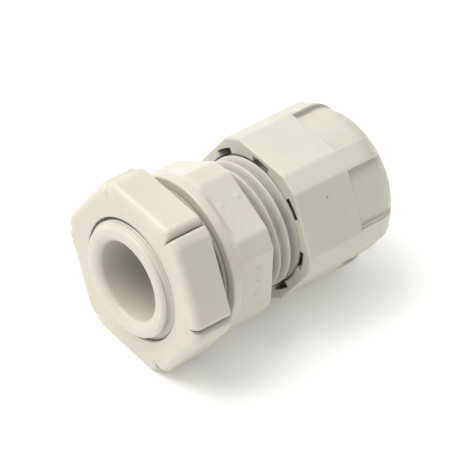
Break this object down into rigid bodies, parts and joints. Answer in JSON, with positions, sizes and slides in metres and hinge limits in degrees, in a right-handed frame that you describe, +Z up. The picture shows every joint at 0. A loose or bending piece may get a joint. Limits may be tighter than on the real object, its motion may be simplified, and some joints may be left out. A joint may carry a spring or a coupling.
{
  "type": "cable gland",
  "caption": "Moulded cable gland: a threaded body with lock nut and sealing washer, and a dome nut that closes a claw and rubber seal on the cable.",
  "frame": {"origin": "under the middle of the gland's length, level with the lowest flats, with the gland lying on its side", "axes": "+X along the gland's axis from the entry thread to the dome nut, +Z up"},
  "size_m": [0.0342, 0.0234, 0.0214],
  "materials": {
    "polyamide": "satin moulded light grey",
    "washer_plastic": "satin moulded pale grey",
    "claw_polyamide": "satin moulded grey",
    "nitrile_rubber": "matt black"
  },
  "bodies": {
    "gland": {"gland_body": "polyamide", "claw_ring": "claw_polyamide"},
    "washer": {"sealing_washer": "washer_plastic"},
    "lock_nut": {"lock_nut": "polyamide"},
    "seal": {"rubber_seal": "nitrile_rubber"},
    "dome_nut": {"dome_nut": "polyamide"},
    "finger_1": {"claw_finger_1": "claw_polyamide"},
    "finger_2": {"claw_finger_2": "claw_polyamide"},
    "finger_3": {"claw_finger_3": "claw_polyamide"},
    "finger_4": {"claw_finger_4": "claw_polyamide"},
    "finger_5": {"claw_finger_5": "claw_polyamide"},
    "finger_6": {"claw_finger_6": "claw_polyamide"},
    "finger_7": {"claw_finger_7": "claw_polyamide"},
    "finger_8": {"claw_finger_8": "claw_polyamide"}
  },
  "joints": [
    {"name": "lock_nut_turn", "type": "hinge", "parent": "gland", "child": "washer", "pos_m": [0, 0, 0.0107], "axis": [1, 0, 0], "range_deg": [-1506, 398]},
    {"name": "lock_nut_travel", "type": "slide", "parent": "washer", "child": "lock_nut", "axis": [1, 0, 0], "range_m": [-0.0059, 0.00156]},
    {"name": "dome_nut_turn", "type": "hinge", "parent": "gland", "child": "seal", "pos_m": [0, 0, 0.0107], "axis": [1, 0, 0], "range_deg": [-960, 0]},
    {"name": "dome_nut_travel", "type": "slide", "parent": "seal", "child": "dome_nut", "axis": [1, 0, 0], "range_m": [-0.004, 0]},
    {"name": "finger_1_bend", "type": "hinge", "parent": "gland", "child": "finger_1", "pos_m": [0.00696, 0, 0.0167], "axis": [0, 1, 0], "range_deg": [0, 17]},
    {"name": "finger_2_bend", "type": "hinge", "parent": "gland", "child": "finger_2", "pos_m": [0.00696, -0.00424, 0.01494], "axis": [0, 0.7071, 0.7071], "range_deg": [0, 17]},
    {"name": "finger_3_bend", "type": "hinge", "parent": "gland", "child": "finger_3", "pos_m": [0.00696, -0.006, 0.0107], "axis": [0, 0, 1], "range_deg": [0, 17]},
    {"name": "finger_4_bend", "type": "hinge", "parent": "gland", "child": "finger_4", "pos_m": [0.00696, -0.00424, 0.00646], "axis": [0, -0.7071, 0.7071], "range_deg": [0, 17]},
    {"name": "finger_5_bend", "type": "hinge", "parent": "gland", "child": "finger_5", "pos_m": [0.00696, 0, 0.0047], "axis": [0, -1, 0], "range_deg": [0, 17]},
    {"name": "finger_6_bend", "type": "hinge", "parent": "gland", "child": "finger_6", "pos_m": [0.00696, 0.00424, 0.00646], "axis": [0, -0.7071, -0.7071], "range_deg": [0, 17]},
    {"name": "finger_7_bend", "type": "hinge", "parent": "gland", "child": "finger_7", "pos_m": [0.00696, 0.006, 0.0107], "axis": [0, 0, -1], "range_deg": [0, 17]},
    {"name": "finger_8_bend", "type": "hinge", "parent": "gland", "child": "finger_8", "pos_m": [0.00696, 0.00424, 0.01494], "axis": [0, 0.7071, -0.7071], "range_deg": [0, 17]}
  ],
  "couplings": [
    {"joint": "lock_nut_travel", "follows": "lock_nut_turn", "m_per_rad": 0.00022441},
    {"joint": "dome_nut_travel", "follows": "dome_nut_turn", "m_per_rad": 0.00023873},
    {"joint": "finger_1_bend", "follows": "dome_nut_turn", "ratio": -0.017707},
    {"joint": "finger_2_bend", "follows": "dome_nut_turn", "ratio": -0.017707},
    {"joint": "finger_3_bend", "follows": "dome_nut_turn", "ratio": -0.017707},
    {"joint": "finger_4_bend", "follows": "dome_nut_turn", "ratio": -0.017707},
    {"joint": "finger_5_bend", "follows": "dome_nut_turn", "ratio": -0.017707},
    {"joint": "finger_6_bend", "follows": "dome_nut_turn", "ratio": -0.017707},
    {"joint": "finger_7_bend", "follows": "dome_nut_turn", "ratio": -0.017707},
    {"joint": "finger_8_bend", "follows": "dome_nut_turn", "ratio": -0.017707}
  ]
}
